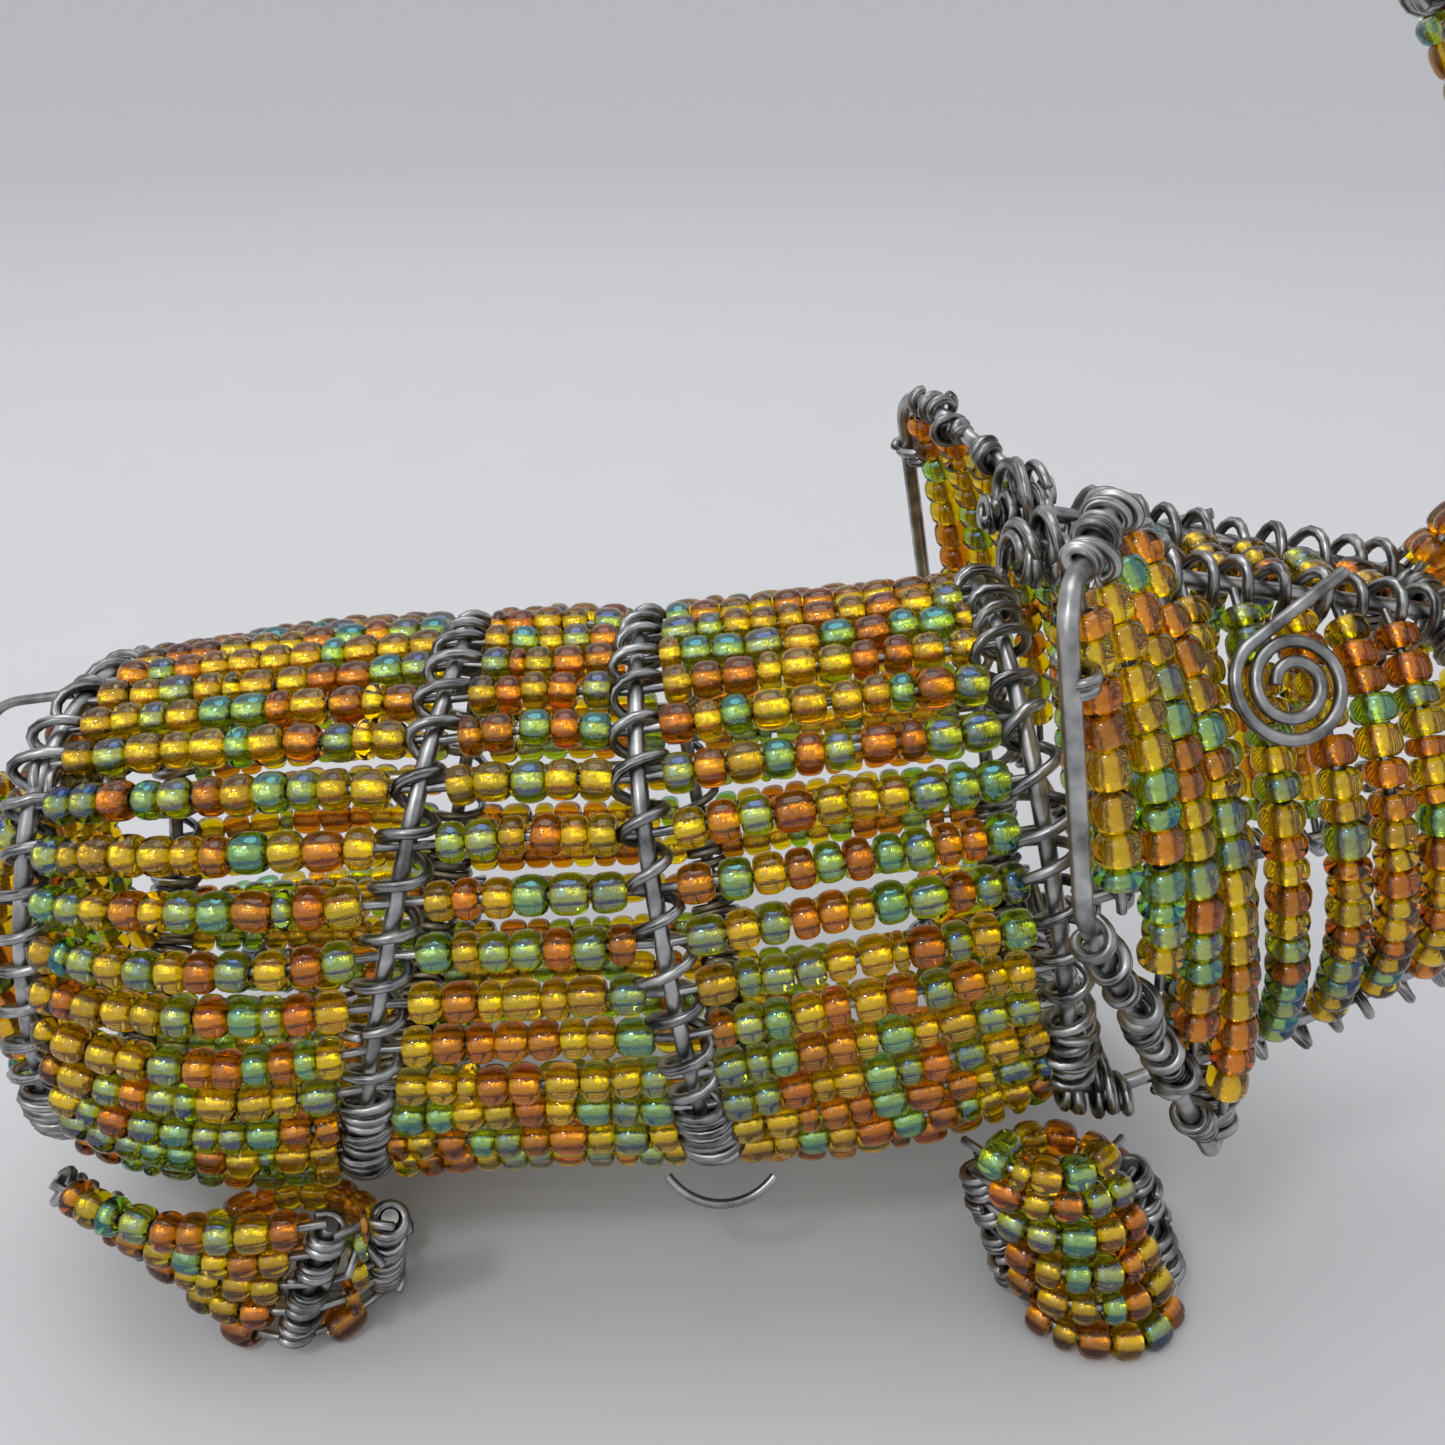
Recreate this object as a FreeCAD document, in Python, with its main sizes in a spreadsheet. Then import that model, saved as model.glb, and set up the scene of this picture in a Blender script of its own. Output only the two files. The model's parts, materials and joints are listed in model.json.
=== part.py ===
"""Beaded wire elephant: a galvanised wire frame with strands of glass beads threaded between its
hoops, two lashed ears and a swinging tail.

Millimetres.  +X is forward, +Y is the animal's left, +Z is up.  The origin is on the ground, under
the middle of the whole figure."""
import FreeCAD, Part
import Sketcher
import math
import os

Vector = FreeCAD.Vector
Z_AXIS = Vector(0, 0, 1)

# ---------------------------------------------------------------- driving dimensions
SIZES = {
    # stock
    "bead_diameter": 3.0,
    "frame_wire": 1.25,
    "binding_wire": 0.75,
    "eye_wire": 0.9,
    "gap": 0.2,
    # torso
    "middle_x": 5.65,
    "torso_strands": 33,
    "rump_bulge": 3.0,
    "rump_cap_bulge": 4.5,
    "chest_sag": 3.2,
    # head, along its spine
    "head_length": 31.0,
    "head_columns": 6,
    "column_pitch": 3.8,
    "first_column": 7.2,
    "brow_half_width": 5.2,
    "cheek_half_width": 17.0,
    "jaw_half_width": 11.5,
    # trunk
    "root_strands": 14,
    "tip_strands": 9,
    "root_bulge": 3.4,
    "tip_bulge": 2.4,
    # ears
    "ear_strands": 4,
    "ear_bulge": 4.9,
    # tail
    "tail_length": 22.0,
}

doc = FreeCAD.newDocument("beaded_elephant")
sheet = doc.addObject("Spreadsheet::Sheet", "sizes")
sheet.Label = "sizes"
for row, (alias, value) in enumerate(SIZES.items(), start=1):
    sheet.set(f"A{row}", alias)
    sheet.set(f"B{row}", str(value))
    sheet.setAlias(f"B{row}", alias)
doc.recompute()

BEAD = sheet.bead_diameter / 2
WIRE = sheet.frame_wire / 2
THREAD = sheet.binding_wire / 2
CLEAR = sheet.gap
WRAP = WIRE + THREAD + 0.05          # radius of a wrap's centre line round a frame wire
STRAND_END = WRAP + THREAD + CLEAR   # how far a strand's beads stay from the hoop's centre line

sub_parts = {}


def at(x, y, z):
    """A point given from the mid back, as a point of the part's own frame."""
    return Vector(x - sheet.middle_x, y, z)


# ---------------------------------------------------------------- outlines
TOP = 0.25       # how far round a hoop its top is, as a share of its length; its bottom is at 0.75


def oval_arcs(half_width, half_height, roundness):
    """The hoop outline: an oval of tangent arcs, as (centre, radius, start, end) in degrees,
    anticlockwise from the rightmost point.  A low roundness gives a boxy oval."""
    side = math.radians(25)
    top = math.radians(60)
    corner = roundness * min(half_width, half_height)
    a = half_width - corner
    b = half_height - corner
    det = math.sin(side) * math.cos(top) - (1 - math.sin(top)) * (1 - math.cos(side))
    p = (b * math.cos(top) - a * (1 - math.sin(top))) / det
    q = (a * math.sin(side) - b * (1 - math.cos(side))) / det
    cy = p * math.cos(side) - p + a
    cz = p * math.sin(side)
    arcs = []
    arcs.append(((a - p, 0), p + corner, 0, 25))
    arcs.append(((cy, cz), corner, 25, 60))
    arcs.append(((0, b - q), q + corner, 60, 120))
    arcs.append(((-cy, cz), corner, 120, 155))
    arcs.append(((p - a, 0), p + corner, 155, 205))
    arcs.append(((-cy, -cz), corner, 205, 240))
    arcs.append(((0, q - b), q + corner, 240, 300))
    arcs.append(((cy, -cz), corner, 300, 335))
    arcs.append(((a - p, 0), p + corner, 335, 360))
    return arcs


class Hoop:
    """A closed frame wire in a plane that stands across the body and may lean."""

    def __init__(self, centre, lean, half_width, half_height, roundness):
        self.centre = centre
        self.lean = math.radians(lean)
        self.arcs = oval_arcs(half_width, half_height, roundness)
        self.length = sum(r * math.radians(e - s) for _, r, s, e in self.arcs)
        self.half_width = half_width

    def place(self, u, v):
        """The point u to the animal's left and v up the leaning plane."""
        up = Vector(-math.sin(self.lean), 0, math.cos(self.lean))
        return self.centre + Vector(0, u, 0) + up * v

    def angle_at(self, fraction):
        """Arc index and angle at a fraction of the way round, from the left side, over the top."""
        left = (fraction % 1.0) * self.length
        for centre, radius, start, end in self.arcs:
            run = radius * math.radians(end - start)
            if left <= run:
                return centre, radius, math.radians(start) + left / radius
            left -= run
        return centre, radius, math.radians(end)

    def point(self, fraction, outward=0.0):
        centre, radius, angle = self.angle_at(fraction)
        reach = radius + outward
        return self.place(centre[0] + reach * math.cos(angle), centre[1] + reach * math.sin(angle))

    def tangent(self, fraction):
        _, _, angle = self.angle_at(fraction)
        up = Vector(-math.sin(self.lean), 0, math.cos(self.lean))
        return Vector(0, -math.sin(angle), 0) + up * math.cos(angle)

    def placement(self):
        """Turns a sketch's X and Y into the hoop's left and up."""
        up = Vector(-math.sin(self.lean), 0, math.cos(self.lean))
        left = Vector(0, 1, 0)
        turn = FreeCAD.Rotation(left, up, left.cross(up), "ZXY")
        return FreeCAD.Placement(self.centre, turn)


# ---------------------------------------------------------------- builders
def keep(obj, label):
    obj.Label = label
    sub_parts[label] = obj
    return obj


def origin_plane(body, role):
    return next(item for item in body.Origin.OriginFeatures if item.Role == role)


def piped_body(label, edges, start_x, size, placement):
    """A wire of round section bent in one plane, piped along a sketch that starts at start_x on the
    X axis, square to it."""
    body = doc.addObject("PartDesign::Body", label)
    path = body.newObject("Sketcher::SketchObject", label + "_path")
    path.AttachmentSupport = [(origin_plane(body, "XY_Plane"), "")]
    path.MapMode = "FlatFace"
    for edge in edges:
        path.addGeometry(edge, False)
    section = body.newObject("Sketcher::SketchObject", label + "_section")
    section.AttachmentSupport = [(origin_plane(body, "XZ_Plane"), "")]
    section.MapMode = "FlatFace"
    circle = Part.Circle(Vector(start_x, 0, 0), Z_AXIS, sheet.get(size) / 2)
    section.addGeometry(circle, False)
    section.addConstraint(Sketcher.Constraint("Radius", 0, sheet.get(size) / 2))
    section.renameConstraint(0, "wire_radius")
    section.setExpression("Constraints.wire_radius", f"<<sizes>>.{size} / 2")
    doc.recompute()
    pipe = body.newObject("PartDesign::AdditivePipe", label + "_pipe")
    pipe.Profile = section
    pipe.Spine = (path, ["Edge%d" % (n + 1) for n in range(len(edges))])
    pipe.Mode = "Frenet"
    body.Tip = pipe
    body.Placement = placement
    return keep(body, label)


def arc_edge(centre, radius, start, end):
    circle = Part.Circle(Vector(centre[0], centre[1], 0), Z_AXIS, radius)
    return Part.ArcOfCircle(circle, math.radians(start), math.radians(end))


def hoop_body(label, hoop):
    edges = [arc_edge(*arc) for arc in hoop.arcs]
    return piped_body(label, edges, hoop.half_width, "frame_wire", hoop.placement())


def rounded_path(points, bend):
    """Straight runs joined by tangent arcs of one radius, smaller where the runs are short."""
    edges = []
    last = points[0]
    for before, corner, after in zip(points, points[1:], points[2:]):
        u = (before - corner).normalize()
        v = (after - corner).normalize()
        turn = math.pi - u.getAngle(v)
        room = 0.48 * min((before - corner).Length, (after - corner).Length)
        cut = min(bend * math.tan(turn / 2), room)
        start = corner + u * cut
        end = corner + v * cut
        radius = cut / math.tan(turn / 2)
        inward = (u + v).normalize()
        middle = corner + inward * (radius / math.cos(turn / 2) - radius)
        if (start - last).Length > 1e-6:
            edges.append(Part.LineSegment(last, start).toShape())
        edges.append(Part.Arc(start, middle, end).toShape())
        last = end
    edges.append(Part.LineSegment(last, points[-1]).toShape())
    return Part.Wire(edges)


def sweep_along(label, path, size):
    """A round wire swept along a path in space."""
    spine = doc.addObject("Part::Feature", label + "_path")
    spine.Shape = path
    first = path.OrderedEdges[0]
    start = first.valueAt(first.FirstParameter)
    along = first.tangentAt(first.FirstParameter)
    section = doc.addObject("Part::Circle", label + "_section")
    section.Placement = FreeCAD.Placement(start, FreeCAD.Rotation(Z_AXIS, along))
    section.setExpression("Radius", f"<<sizes>>.{size} / 2")
    sweep = doc.addObject("Part::Sweep", label)
    sweep.Sections = [section]
    sweep.Spine = (spine, ["Edge%d" % (n + 1) for n in range(len(path.Edges))])
    sweep.Solid = True
    sweep.Frenet = False
    sweep.Transition = "Right corner"
    return sweep


def swept_wire(label, path, size):
    return keep(sweep_along(label, path, size), label)


def rod(name, start, end, radius_rule):
    """A straight round bar between two points."""
    bar = doc.addObject("Part::Cylinder", name)
    bar.setExpression("Radius", radius_rule)
    bar.Height = (end - start).Length
    bar.Placement = FreeCAD.Placement(start, FreeCAD.Rotation(Z_AXIS, end - start))
    return bar


def bent_rod(name, start, middle, end, radius_rule):
    """A round bar bent to the arc through three points."""
    chord = end - start
    sag = (middle - start) - chord * ((middle - start).dot(chord) / chord.dot(chord))
    if sag.Length < 0.02:
        return rod(name, start, end, radius_rule)
    arc = Part.Arc(start, middle, end).toShape().Curve
    centre = arc.Center
    x_dir = (start - centre).normalize()
    normal = (middle - start).cross(end - middle).normalize()
    y_dir = normal.cross(x_dir)
    sweep = math.atan2((end - centre).dot(y_dir), (end - centre).dot(x_dir)) % (2 * math.pi)
    bar = doc.addObject("Part::Torus", name)
    bar.Radius1 = arc.Radius
    bar.setExpression("Radius2", radius_rule)
    bar.Angle3 = math.degrees(sweep)
    turn = FreeCAD.Rotation(x_dir, y_dir, normal, "ZXY")
    bar.Placement = FreeCAD.Placement(centre, turn)
    return bar


def ring(name, centre, axis, radius_rule, thick_rule):
    """One closed turn of wire."""
    turn = doc.addObject("Part::Torus", name)
    turn.setExpression("Radius1", radius_rule)
    turn.setExpression("Radius2", thick_rule)
    turn.Placement = FreeCAD.Placement(centre, FreeCAD.Rotation(Z_AXIS, axis))
    return turn


def group(label, members):
    """Separate solids of one kind, kept as one sub-part."""
    bundle = doc.addObject("Part::Compound", label)
    bundle.Links = members
    return keep(bundle, label)


BEAD_RULE = "<<sizes>>.bead_diameter / 2"
WIRE_RULE = "<<sizes>>.frame_wire / 2"
THREAD_RULE = "<<sizes>>.binding_wire / 2"
WRAP_RULE = "<<sizes>>.frame_wire / 2 + <<sizes>>.binding_wire / 2 + 0.05"
LOOSE_RULE = WRAP_RULE + " + 0.03"


def end_trim(along, wire):
    """How far a strand stops short of the wire it meets, so that its end bead clears the turns of
    binding wire: further where the two meet at a slant."""
    slant = along.getAngle(wire)
    return (STRAND_END + BEAD * abs(math.cos(slant))) / math.sin(slant)


def strand(name, start, end, wires, bulge=None):
    """A strand of beads between two frame wires, whose directions there are given."""
    if bulge is None or bulge.Length < 0.05:
        along = (end - start).normalize()
        first = start + along * end_trim(along, wires[0])
        last = end - along * end_trim(along, wires[1])
        return rod(name, first, last, BEAD_RULE)
    arc = Part.Arc(start, (start + end) * 0.5 + bulge, end).toShape()
    first = end_trim(arc.tangentAt(arc.FirstParameter), wires[0])
    last = arc.Length - end_trim(arc.tangentAt(arc.LastParameter), wires[1])
    places = [arc.valueAt(arc.getParameterByLength(d)) for d in (first, (first + last) / 2, last)]
    return bent_rod(name, *places, BEAD_RULE)


def wraps(label, points_and_axes):
    """Turns of binding wire round a frame wire."""
    turns = []
    for number, (centre, axis) in enumerate(points_and_axes):
        turns.append(ring(f"{label}_{number}", centre, axis, WRAP_RULE, THREAD_RULE))
    return group(label, turns)


# ---------------------------------------------------------------- torso
RUMP = Hoop(at(-50.5, 0, 28.0), -8, 14.8, 18.8, 0.42)
REAR = Hoop(at(-24.4, 0, 28.6), -12.8, 18.3, 21.7, 0.42)
MIDDLE = Hoop(at(-3.0, 0, 29.7), 9, 18.3, 20.8, 0.42)
NECK = Hoop(at(23.6, 0, 34.4), 12, 16.2, 19.7, 0.62)
TORSO_HOOPS = {"rump": RUMP, "rear": REAR, "mid": MIDDLE, "neck": NECK}


def torso_side(fraction):
    """Which face of the torso a place on the hoop belongs to."""
    angle = fraction * 360
    if 50 <= angle < 130:
        return "back"
    if 130 <= angle < 230:
        return "right"
    if 230 <= angle < 310:
        return "belly"
    return "left"


def torso_fractions():
    count = int(sheet.torso_strands)
    return [(TOP + (k + 0.5) / count) % 1.0 for k in range(count)]


def torso_section(name, behind, ahead, side_bulge=0.0, low_bulge=0.0):
    """The strands between two hoops, bowed outwards on the sides or underneath."""
    faces = {}
    for number, fraction in enumerate(torso_fractions()):
        start = behind.point(fraction)
        end = ahead.point(fraction)
        outward = (behind.point(fraction, 1) - start + ahead.point(fraction, 1) - end) * 0.5
        bulge = side_bulge * outward.y ** 2 + low_bulge * max(-outward.z, 0) ** 2
        wires = (behind.tangent(fraction), ahead.tangent(fraction))
        piece = strand(f"{name}_strand_{number}", start, end, wires, outward * bulge)
        faces.setdefault(torso_side(fraction), []).append(piece)
    for face, members in faces.items():
        group(f"{name}_{face}_strands", members)


def between(fractions):
    """The places half-way between neighbouring strands, where the binding wire is wrapped."""
    step = 1.0 / len(fractions)
    return [(fraction + step / 2) % 1.0 for fraction in fractions]


def torso():
    for name, hoop in TORSO_HOOPS.items():
        hoop_body(f"{name}_hoop", hoop)
        places = between(torso_fractions())
        if hoop is RUMP:
            places = places[:-1]     # the tail's ring takes the last place
        wraps(f"{name}_hoop_wraps", [(hoop.point(f), hoop.tangent(f)) for f in places])
    torso_section("rump", RUMP, REAR, side_bulge=sheet.rump_bulge)
    torso_section("mid", REAR, MIDDLE)
    torso_section("fore", MIDDLE, NECK, low_bulge=sheet.chest_sag)


# ---------------------------------------------------------------- head
def head_frame(along):
    """The middle of the head's section a distance along it, the section's up and its half height."""
    brow = at(20.5 + 0.98 * along, 0, 59.6 - 0.16 * along)
    jaw = at(28.0 + 0.95 * along, 0, 16.5 + 0.42 * along)
    return (brow + jaw) * 0.5, (brow - jaw).normalize(), (brow - jaw).Length / 2


def head_point(along, side, level):
    """A point of the head's skin: level 1 is the brow rail, 0 the cheek and -1 the jaw rail, and
    side is +1 on the animal's left."""
    middle, up, half_height = head_frame(along)
    part = along / sheet.head_length
    narrow = 1 - 0.28 * part * part
    brow = sheet.brow_half_width * narrow
    jaw = sheet.jaw_half_width * narrow
    cheek = sheet.cheek_half_width * narrow
    width = {1: brow, 0: cheek, -1: jaw}[level]
    return middle + up * (half_height * level) + Vector(0, side * width, 0)


def column_arc(along, side):
    points = [head_point(along, side, level) for level in (1, 0, -1)]
    return Part.Arc(*points).toShape()


def column_places():
    return [sheet.first_column + sheet.column_pitch * k for k in range(int(sheet.head_columns))]


def head_rails():
    first = 2.0
    short_of_trunk = 1.4
    for side, name in ((-1, "right"), (1, "left")):
        for level, rail in ((1, "brow"), (-1, "jaw")):
            stations = [first + (sheet.head_length - first) * k / 4 for k in range(5)]
            points = [head_point(s, side, level) for s in stations]
            points[-1] = points[-1] - (points[-1] - points[-2]).normalize() * short_of_trunk
            swept_wire(f"{name}_{rail}_rail", rounded_path(points, 20.0), "frame_wire")


def rail_direction(along, side, level):
    return head_point(along + 0.5, side, level) - head_point(along, side, level)


def head_strands():
    turns = []
    for side, name in ((-1, "right"), (1, "left")):
        columns = []
        for number, along in enumerate(column_places()):
            brow, cheek, jaw = [head_point(along, side, level) for level in (1, 0, -1)]
            wires = [rail_direction(along, side, level) for level in (1, -1)]
            bulge = cheek - (brow + jaw) * 0.5
            columns.append(strand(f"{name}_column_{number}", brow, jaw, wires, bulge))
            for level in (1, -1):
                between_columns = along + sheet.column_pitch / 2
                turn_at = head_point(between_columns, side, level)
                turns.append((turn_at, rail_direction(between_columns, side, level)))
        group(f"{name}_head_strands", columns)
    crown = []
    for number, along in enumerate(column_places()):
        ends = [head_point(along, side, 1) for side in (-1, 1)]
        wires = [rail_direction(along, side, 1) for side in (-1, 1)]
        crown.append(strand(f"crown_{number}", *ends, wires))
    group("crown_strands", crown)
    wraps("head_rail_wraps", turns)


# ---------------------------------------------------------------- trunk
ROOT_CENTRE, ROOT_UP, ROOT_HEIGHT = head_frame(sheet.head_length)
ROOT_LEAN = math.degrees(math.atan2(-ROOT_UP.x, ROOT_UP.z))
ROOT = Hoop(ROOT_CENTRE, ROOT_LEAN, 10.0, ROOT_HEIGHT, 0.5)
BEND = Hoop(at(63.0, 0, 62.0), 84, 7.2, 7.2, 0.9)
TIP = Hoop(at(45.8, 0, 96.0), 125, 4.6, 4.6, 0.9)


def trunk_section(name, behind, ahead, count, bulge_at):
    """The strands between two hoops of the trunk; bulge_at takes a strand's height on the hoop, from
    1 at the top to -1 at the bottom."""
    strands = []
    for number in range(int(count)):
        fraction = TOP + (number + 0.5) / count
        wires = (behind.tangent(fraction), ahead.tangent(fraction))
        bulge = bulge_at(math.cos(2 * math.pi * (fraction - TOP)))
        ends = (behind.point(fraction), ahead.point(fraction))
        strands.append(strand(f"{name}_strand_{number}", *ends, wires, bulge))
    group(f"{name}_strands", strands)


def trunk():
    for label, hoop in (("trunk_root", ROOT), ("trunk_bend", BEND), ("trunk_tip", TIP)):
        hoop_body(f"{label}_hoop", hoop)
    down = Vector(1, 0, -0.45) * sheet.root_bulge
    up = Vector(1, 0, 0.375) * sheet.tip_bulge
    trunk_section("trunk_root", ROOT, BEND, sheet.root_strands, lambda level: down * (1 - level) / 2)
    trunk_section("trunk_tip", BEND, TIP, sheet.tip_strands, lambda level: up)
    root_places = [TOP + k / sheet.root_strands for k in range(int(sheet.root_strands))]
    tip_places = [TOP + k / sheet.tip_strands for k in range(int(sheet.tip_strands))]
    turns = [(ROOT.point(f), ROOT.tangent(f)) for f in root_places]
    turns += [(BEND.point(f), BEND.tangent(f)) for f in root_places]
    turns += [(TIP.point(f), TIP.tangent(f)) for f in tip_places]
    wraps("trunk_wraps", turns)


# ---------------------------------------------------------------- back, rump end and belly
def back_rails():
    strands_down = 3
    inside_hoop = -2.1
    for side, name in ((1, "right"), (-1, "left")):
        fraction = TOP + side * strands_down / sheet.torso_strands
        points = [hoop.point(fraction, inside_hoop) for hoop in TORSO_HOOPS.values()]
        swept_wire(f"{name}_back_rail", rounded_path(points, 30.0), "frame_wire")


def rump_end():
    strands = []
    pitch = 4.3
    for number in (-2.5, -1.5, -0.5, 0.5, 1.5, 2.5):
        aside = number * pitch / RUMP.length
        top, bottom = TOP + aside, TOP + 0.5 - aside
        wires = (RUMP.tangent(top), RUMP.tangent(bottom))
        bulge = Vector(-sheet.rump_cap_bulge, 0, 0)
        name = f"rump_end_strand_{number}"
        strands.append(strand(name, RUMP.point(top), RUMP.point(bottom), wires, bulge))
    group("rump_end_strands", strands)


def belly_loop():
    fraction = 0.64
    foot = MIDDLE.point(fraction)
    outward = MIDDLE.point(fraction, 1) - foot
    ends = [foot + Vector(x, 0, 0) + outward * drop for x, drop in ((-4.2, 2.3), (0, 4.4), (4.2, 2.3))]
    path = Part.Wire([Part.Arc(*ends).toShape()])
    swept_wire("belly_loop", path, "binding_wire")


# ---------------------------------------------------------------- legs
class Leg:
    """A stub leg: level rows of beads between straight wires that run from the foot to the top.
    Corners and middles are (foot, top) pairs of (forward, outward, height), in order round the leg's
    outer side: the wires stand at the corners and each row bulges through the middle between two."""

    def __init__(self, name, side, levels, corners, middles, inner):
        self.name = name
        self.side = side
        self.levels = levels
        self.corners = corners
        self.middles = middles
        self.inner = inner

    def point(self, pair, level):
        part = level / (self.levels - 1)
        x, outward, z = [foot + (top - foot) * part for foot, top in zip(*pair)]
        return at(x, self.side * outward, z)

    def run(self, pair):
        return self.point(pair, self.levels - 1) - self.point(pair, 0)

    def row(self, level, first, middle, last):
        """The beads of one row between two of the wires."""
        start = self.point(first, level)
        end = self.point(last, level)
        bulge = self.point(middle, level) - (start + end) * 0.5
        name = f"{self.name}_row_{level}_at_{self.corners.index(first)}"
        return strand(name, start, end, (self.run(first), self.run(last)), bulge)

    def beads(self, inner_levels):
        rows = []
        for level in range(self.levels):
            for first, middle, last in zip(self.corners, self.middles, self.corners[1:]):
                rows.append(self.row(level, first, middle, last))
            if level < inner_levels:
                rows.append(self.row(level, self.corners[-1], self.inner, self.corners[0]))
        group(f"{self.name}_strands", rows)

    def wires(self, reach):
        """A stirrup down one edge, under the foot and up the other, and rods between them."""
        front, back = self.corners[0], self.corners[-1]
        ends = [self.point(front, reach), self.point(front, 0), self.point(back, 0), self.point(back, reach)]
        members = [sweep_along(f"{self.name}_stirrup", rounded_path(ends, 1.0), "frame_wire")]
        for corner in self.corners[1:-1]:
            ends = (self.point(corner, reach), self.point(corner, 0))
            members.append(rod(f"{self.name}_side", *ends, WIRE_RULE))
        group(f"{self.name}_wire", members)

    def turns(self, reach):
        """Where the binding goes round the wires, between the rows."""
        spots = []
        for corner in self.corners:
            for level in range(reach):
                spots.append((self.point(corner, level + 0.5), self.run(corner)))
        return spots


def legs():
    low = sheet.bead_diameter / 2
    front_top = 16.6
    rear_top = 14.1
    front_corners = [((36.3, 16.2, low), (30.2, 15.2, front_top)),
                     ((23.7, 16.2, low), (18.4, 15.2, front_top))]
    front_middles = [((30.0, 21.8, low), (24.3, 19.4, front_top))]
    front_inner = ((30.0, 10.6, low), (24.3, 9.6, front_top))
    rear_corners = [((-27.4, 16.4, low), (-24.4, 21.0, rear_top)),
                    ((-33.2, 21.4, low), (-28.6, 21.6, rear_top)),
                    ((-40.0, 17.4, low), (-51.0, 17.4, rear_top))]
    rear_middles = [((-29.6, 19.9, low), (-26.4, 21.8, rear_top)),
                    ((-37.3, 20.6, low), (-40.0, 22.3, rear_top))]
    rear_inner = ((-33.4, 10.6, low), (-37.0, 9.6, rear_top))
    turns = []
    for side, name in ((-1, "right"), (1, "left")):
        front = Leg(f"{name}_front_leg", side, 6, front_corners, front_middles, front_inner)
        front.beads(inner_levels=4)
        front.wires(reach=3.9)
        turns += front.turns(reach=4)
        rear = Leg(f"{name}_rear_leg", side, 5, rear_corners, rear_middles, rear_inner)
        rear.beads(inner_levels=2)
        rear.wires(reach=3.9)
        turns += rear.turns(reach=4)
    wraps("leg_wraps", turns)


# ---------------------------------------------------------------- ears
def ear_points(side):
    """The ear frame's outer top and outer bottom corners, and the two ends of its pivot line."""
    if side < 0:
        outer_top = at(18.3, -24.5, 64.5)
        outer_bottom = at(21.6, -25.5, 44.3)
        pivot_top = at(26.5, -8.6, 61.3)
    else:
        outer_top = at(15.0, 23.0, 64.5)
        outer_bottom = at(19.0, 25.5, 44.3)
        pivot_top = at(24.3, 10.2, 56.5)
    pivot_bottom = at(35.5, side * 18.6, 21.5)
    return outer_top, outer_bottom, pivot_top, pivot_bottom


def edge_places(points, part):
    """The places of a strand on the ear frame's top and low edges, part 0 being nearest the head."""
    top = points[1] + (points[2] - points[1]) * (0.13 + 0.72 * part)
    low = points[4] + (points[3] - points[4]) * (0.10 + 0.67 * part)
    return top, low


def ears():
    for side, name in ((-1, "right"), (1, "left")):
        outer_top, outer_bottom, pivot_top, pivot_bottom = ear_points(side)
        axis = (pivot_top - pivot_bottom).normalize()
        points = [pivot_top - axis * 2.2, pivot_top + axis * 4.0, outer_top, outer_bottom,
                  pivot_bottom - axis * 4.4, pivot_bottom + axis * 2.8]
        swept_wire(f"{name}_ear_wire", rounded_path(points, 3.0), "frame_wire")
        count = int(sheet.ear_strands)
        beads = []
        turns = []
        top_edge = points[2] - points[1]
        low_edge = points[3] - points[4]
        for number in range(count):
            start, end = edge_places(points, number / (count - 1))
            bulge = Vector(0.6, side, 0) * (sheet.ear_bulge * (1 - 0.8 * number / (count - 1)))
            name_here = f"{name}_ear_strand_{number}"
            beads.append(strand(name_here, start, end, (top_edge, low_edge), bulge))
            if number > 0:
                upper, lower = edge_places(points, (number - 0.5) / (count - 1))
                turns += [(upper, top_edge), (lower, low_edge)]
        group(f"{name}_ear_strands", beads)
        wraps(f"{name}_ear_wraps", turns)
        lashing = []
        for end, pivot, first in (("top", pivot_top, -1.4), ("bottom", pivot_bottom, 0.4)):
            for number in range(3):
                middle = pivot + axis * (first + 0.85 * number)
                turn = ring(f"{name}_{end}_turn_{number}", middle, axis, LOOSE_RULE, THREAD_RULE)
                lashing.append(turn)
        group(f"{name}_ear_lashings", lashing)


# ---------------------------------------------------------------- eyes
def eye_path(lead_length):
    """A flat spiral of half circles from its inner end outwards, and the wire that leads off it."""
    radii = [1.55 + 0.7 * k for k in range(4)]
    edges = []
    centre = 0.0
    for number, radius in enumerate(radii):
        start = 180 * (number % 2)
        edges.append(arc_edge((centre, 0), radius, start, start + 180))
        if number + 1 < len(radii):
            growth = radii[number + 1] - radius
            centre += growth if number % 2 == 0 else -growth
    bend_radius = 3.4
    bend = math.radians(55)
    bend_centre = centre + radii[-1] - bend_radius
    edges.append(arc_edge((bend_centre, 0), bend_radius, 0, math.degrees(bend)))
    corner = Vector(bend_centre + bend_radius * math.cos(bend), bend_radius * math.sin(bend), 0)
    along = Vector(-math.sin(bend), math.cos(bend), 0)
    edges.append(Part.LineSegment(corner, corner + along * lead_length))
    return edges, radii[0]


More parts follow.
